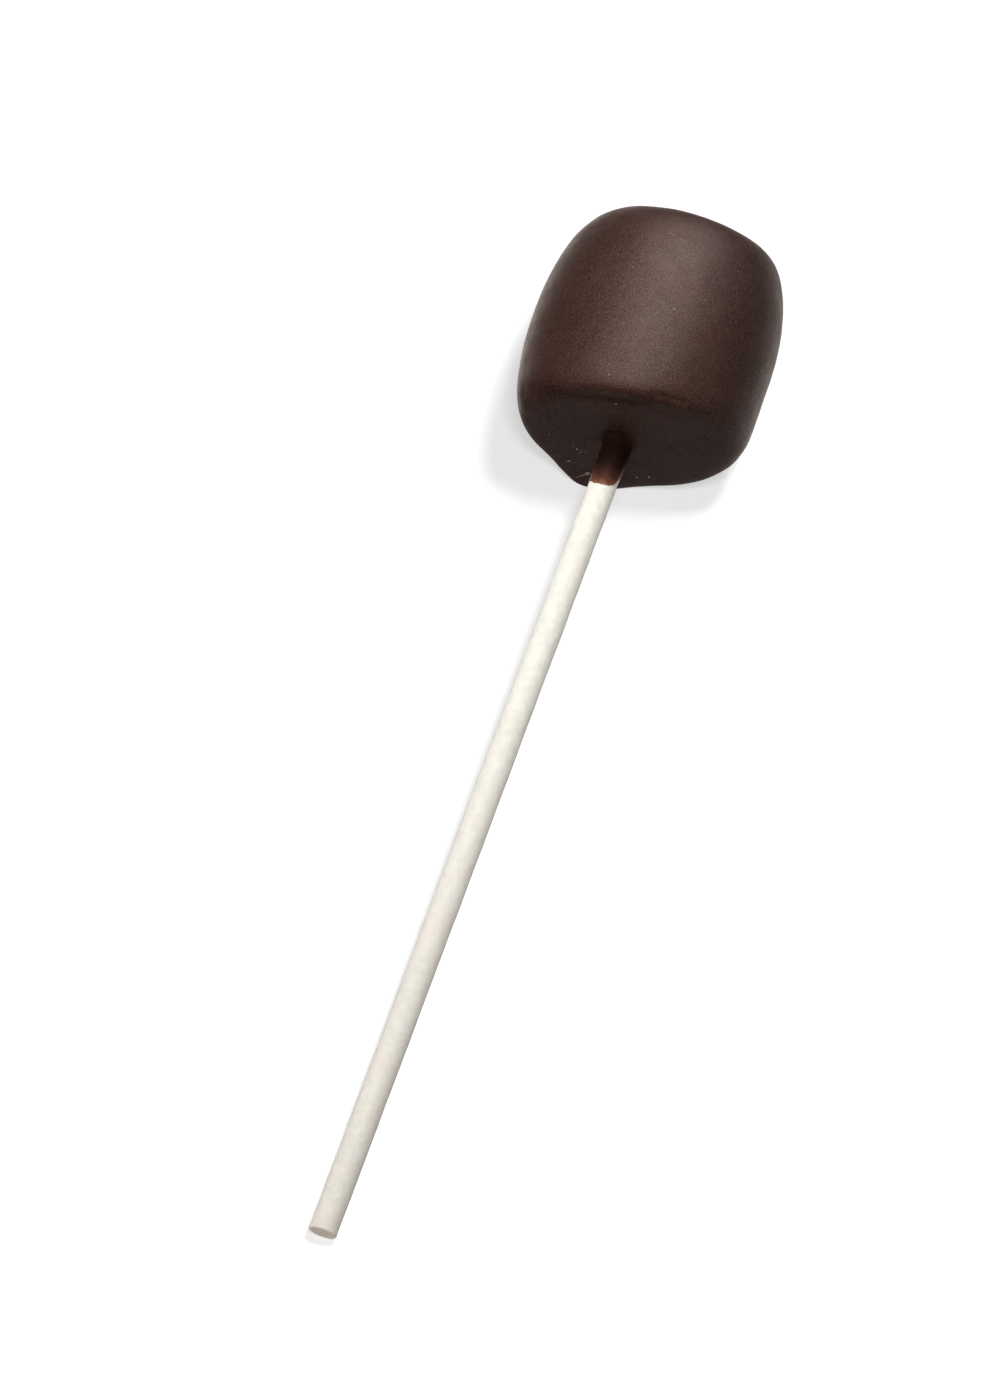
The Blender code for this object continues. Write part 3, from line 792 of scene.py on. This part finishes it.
def build_specks(coat, pale, brown, scuffed):
    tree = surface_tree(coat)
    bm = bmesh.new()
    # grains that show as pale points: pixel, half size in mm, length ratio, turn
    for i, (px, py, size, longer, turn) in enumerate((
            (577, 449, 0.15, 1.15, 0.4), (580.5, 452, 0.12, 1.3, -0.7), (574, 446.5, 0.08, 1.0, 0.0),
            (637, 477, 0.14, 1.1, 0.2), (649, 477, 0.16, 1.0, 0.9), (643, 474, 0.07, 1.0, 0.0),
            (616, 404, 0.125, 1.0, 0.1), (609, 375, 0.10, 1.0, 0.3), (761, 371, 0.10, 1.0, 0.5),
            (736, 322, 0.07, 1.0, 0.9), (711.5, 432.5, 0.06, 1.0, 0.4),
            (633, 267, 0.07, 1.0, 0.2), (547, 341, 0.055, 1.0, 0.0), (738, 271, 0.06, 1.2, 0.3),
            (674, 309, 0.06, 1.6, 1.1), (558, 405, 0.05, 1.0, 0.0), (705, 300, 0.05, 1.0, 0.0))):
        where, normal = hit(tree, px, py)
        crumb(bm, where, normal, size * MM, 100 + i, 0.55, longer, turn)
    # more on the sides that the front view does not show
    rng = np.random.default_rng(5)
    for i in range(26):
        d = Vector(rng.normal(size=3))
        d.normalize()
        if d.dot(CAM_BACK) > 0.25 or d.z < -0.75:
            continue
        inside = Vector(place(0.0, MID_S, 0.0))
        where, normal, _, _ = tree.ray_cast(inside + d * 0.05, -d)
        if where is None or where.z < 0.002:
            continue
        if normal.dot(d) < 0:
            normal = -normal
        crumb(bm, where, normal, float(rng.uniform(0.04, 0.10)) * MM, 300 + i, 0.55, float(rng.uniform(1.0, 1.6)), float(rng.uniform(0, 3)))
    mesh = bpy.data.meshes.new("crumbs")
    bm.to_mesh(mesh)
    bm.free()
    made = [make_object("crumbs", mesh, pale, None, 60.0)]

    # shaving of chocolate by the stick: a pale sliver, widest at its right end
    bm = bmesh.new()
    pts, nrm = along_pixels(tree, ((575.5, 477.8), (580, 476.2), (584.5, 474.8), (588.5, 473.6)), 15)
    w = [0.030 + 0.075 * (i / 14.0) ** 1.5 for i in range(15)]
    strip(bm, pts, nrm, [v * MM * (0.35 if i in (0, 14) else 1.0) for i, v in enumerate(w)],
          [0.6 * v * MM * (0.35 if i in (0, 14) else 1.0) for i, v in enumerate(w)])
    pts, nrm = along_pixels(tree, ((585.0, 473.2), (588.0, 472.2), (590.5, 473.0), (590.3, 475.2)), 11)
    strip(bm, pts, nrm, [0.045 * MM * (0.4 if i in (0, 10) else 1.0) for i in range(11)],
          [0.05 * MM * (0.4 if i in (0, 10) else 1.0) for i in range(11)])
    where, normal = hit(tree, 588.0, 473.8)
    crumb(bm, where, normal, 0.14 * MM, 71, 0.7, 1.4, 0.5)
    mesh = bpy.data.meshes.new("shaving")
    bm.to_mesh(mesh)
    bm.free()
    made.append(make_object("chocolate_shaving", mesh, brown, None, 60.0))

    # dry scuff near the far end, a thin raised line broken in two
    bm = bmesh.new()
    for path, n in ((((667.2, 232.6), (671.5, 234.0), (676.0, 236.3)), 9), (((677.5, 237.2), (682.0, 239.6), (688.2, 242.6)), 11)):
        pts, nrm = along_pixels(tree, path, n)
        size = [math.sin(math.pi * (i + 0.35) / (n - 0.3)) for i in range(n)]
        strip(bm, pts, nrm, [0.055 * MM * max(v, 0.15) for v in size], [0.030 * MM * max(v, 0.15) for v in size])
    where, normal = hit(tree, 569.0, 461.0)
    crumb(bm, where, normal, 0.24 * MM, 72, 0.30, 1.5, 0.5)
    mesh = bpy.data.meshes.new("scuff")
    bm.to_mesh(mesh)
    bm.free()
    made.append(make_object("chocolate_scuff", mesh, scuffed, None, 60.0))
    return made


# ---------------------------------------------------------------- floor, light, camera
def build_stage():
    m = Tree("stage_white")
    m.shader.inputs["Base Color"].default_value = (0.60, 0.60, 0.60, 1.0)
    m.shader.inputs["Roughness"].default_value = 1.0
    m.shader.inputs["Specular IOR Level"].default_value = 0.0
    m.shader.inputs["Emission Color"].default_value = (1.0, 1.0, 1.0, 1.0)
    m.shader.inputs["Emission Strength"].default_value = 0.60
    bm = bmesh.new()
    bmesh.ops.create_grid(bm, x_segments=2, y_segments=2, size=4.0)
    mesh = bpy.data.meshes.new("floor")
    bm.to_mesh(mesh)
    bm.free()
    mesh.materials.append(m.mat)
    floor = bpy.data.objects.new("floor", mesh)
    bpy.context.scene.collection.objects.link(floor)
    floor.visible_glossy = False
    return floor


def area(name, direction, distance, size, watts, aim, glossy=True, diffuse=True, colour=(1.0, 1.0, 1.0)):
    data = bpy.data.lights.new(name, "AREA")
    data.shape = "RECTANGLE"
    data.size, data.size_y = size
    data.energy = watts
    data.color = colour
    obj = bpy.data.objects.new(name, data)
    bpy.context.scene.collection.objects.link(obj)
    d = Vector(direction).normalized()
    obj.location = aim + d * distance
    obj.rotation_mode = "QUATERNION"
    obj.rotation_quaternion = d.to_track_quat("Z", "Y")
    obj.visible_glossy = glossy
    obj.visible_diffuse = diffuse
    obj.visible_camera = False
    return obj


def only_on(lights, name, objects):
    """The lights fall on these objects alone."""
    group = bpy.data.collections.new(name)
    for obj in objects:
        group.objects.link(obj)
    for light in lights:
        light.light_linking.receiver_collection = group


def build_light(pieces, floor):
    head = Vector(place(0.0, MID_S, 0.0))
    strip_light = area("strip", (0.010, 0.462, 0.887), 0.40, (0.31, 0.66), 3.12, head, diffuse=False)
    key = area("key", (-0.09, 0.22, 0.97), 0.80, (0.26, 0.26), 5.8, head, glossy=False)
    fill = area("fill", (-0.30, -0.12, 0.94), 0.90, (0.90, 0.90), 4.3, head, glossy=False)
    side = area("side", (-0.80, -0.38, 0.46), 0.90, (0.60, 0.60), 2.0, head, glossy=False)
    low = area("low", (-0.06, -0.36, 0.92), 1.00, (0.20, 0.20), 4.0, head, glossy=False)
    front = area("front", (0.17, -0.36, 0.92), 1.00, (0.14, 0.14), 3.0, head, glossy=False)
    table = area("table", (0.22, 0.13, 0.96), 1.00, (0.16, 0.16), 5.8, head, glossy=False)
    right = area("right", (0.86, -0.10, 0.50), 0.90, (0.60, 0.60), 1.1, head, glossy=False)
    only_on((strip_light, key, fill, side, low), "lit_pop", pieces)
    only_on((right,), "lit_stick", pieces[1:2])
    only_on((table, front), "lit_table", (floor,))
    world = bpy.data.worlds.new("studio")
    bpy.context.scene.world = world
    world.use_nodes = True
    t = world.node_tree
    bg = t.nodes["Background"]

    def calc(op, a, b):
        n = t.nodes.new("ShaderNodeMath")
        n.operation = op
        for sock, v in ((n.inputs[0], a), (n.inputs[1], b)):
            if isinstance(v, (int, float)):
                sock.default_value = v
            else:
                t.links.new(v, sock)
        return n.outputs[0]

    def step(value, a, b, c, d):
        n = t.nodes.new("ShaderNodeMapRange")
        n.interpolation_type = "SMOOTHSTEP"
        for key, v in zip(("From Min", "From Max", "To Min", "To Max"), (a, b, c, d)):
            n.inputs[key].default_value = v
        t.links.new(value, n.inputs["Value"])
        return n.outputs["Result"]

    coord = t.nodes.new("ShaderNodeTexCoord")
    split = t.nodes.new("ShaderNodeSeparateXYZ")
    t.links.new(coord.outputs["Generated"], split.inputs[0])
    dx, dy, dz = split.outputs
    # dim all round; brighter close beneath the sweet, behind and to its right
    under = step(dz, -0.77, -0.32, 1.0, 0.0)
    away = calc("MAXIMUM", step(dy, 0.10, 0.42, 0.0, 1.0), calc("MULTIPLY", step(dx, 0.15, 0.50, 0.0, 0.5), step(dy, -0.35, 0.10, 0.25, 1.0)))
    low = calc("ADD", calc("MULTIPLY", under, calc("ADD", calc("MULTIPLY", calc("MULTIPLY", away, 1.25), step(dx, -0.45, -0.12, 2.1, 1.0)), 0.135)), 0.04)
    high = calc("ADD", step(dy, -0.7, -0.1, 0.0, 0.035), step(dx, -0.9, 0.9, 0.030, 0.015))
    below = step(dz, -0.12, 0.06, 1.0, 0.0)
    strength = calc("ADD", calc("MULTIPLY", low, below), calc("MULTIPLY", high, calc("SUBTRACT", 1.0, below)))
    # a camera sees the backdrop as plain white, as it sees the floor
    path = t.nodes.new("ShaderNodeLightPath")
    mix = t.nodes.new("ShaderNodeMix")
    mix.data_type = "FLOAT"
    t.links.new(path.outputs["Is Camera Ray"], mix.inputs[0])
    t.links.new(strength, mix.inputs[2])
    mix.inputs[3].default_value = 1.0
    tone = t.nodes.new("ShaderNodeMix")
    tone.data_type = "RGBA"
    t.links.new(path.outputs["Is Camera Ray"], tone.inputs[0])
    tone.inputs[6].default_value = (1.0, 0.90, 0.83, 1.0)
    tone.inputs[7].default_value = (1.0, 1.0, 1.0, 1.0)
    t.links.new(tone.outputs[2], bg.inputs["Color"])
    t.links.new(mix.outputs[0], bg.inputs["Strength"])


def build_camera():
    data = bpy.data.cameras.new("camera")
    data.sensor_fit = "AUTO"
    data.sensor_width = 36.0
    data.lens = FOCAL_PX * 36.0 / FRAME_H
    data.clip_start, data.clip_end = 0.01, 50.0
    cam = bpy.data.objects.new("camera", data)
    bpy.context.scene.collection.objects.link(cam)
    turn = Matrix((CAM_RIGHT, CAM_UP, CAM_BACK)).transposed()
    cam.matrix_world = Matrix.Translation(CAM_AT) @ turn.to_4x4()
    bpy.context.scene.camera = cam


build_camera()
chocolate = chocolate_material()
paper = paper_material()
pale = crumb_material("pale_grain", (0.150, 0.127, 0.114), (0.28, 0.245, 0.222), 0.7)
scuffed = crumb_material("scuffed_chocolate", (0.085, 0.064, 0.055), (0.17, 0.138, 0.122), 0.75)
brown = crumb_material("dry_shaving", (0.17, 0.118, 0.092), (0.33, 0.255, 0.205), 0.65)
coat = build_coat(chocolate)
stick = build_stick(paper)
specks = build_specks(coat, pale, brown, scuffed)
floor = build_stage()
build_light([coat, stick] + specks, floor)
bpy.context.scene.view_settings.view_transform = "Standard"
bpy.context.scene.view_settings.look = "None"
bpy.context.view_layer.update()
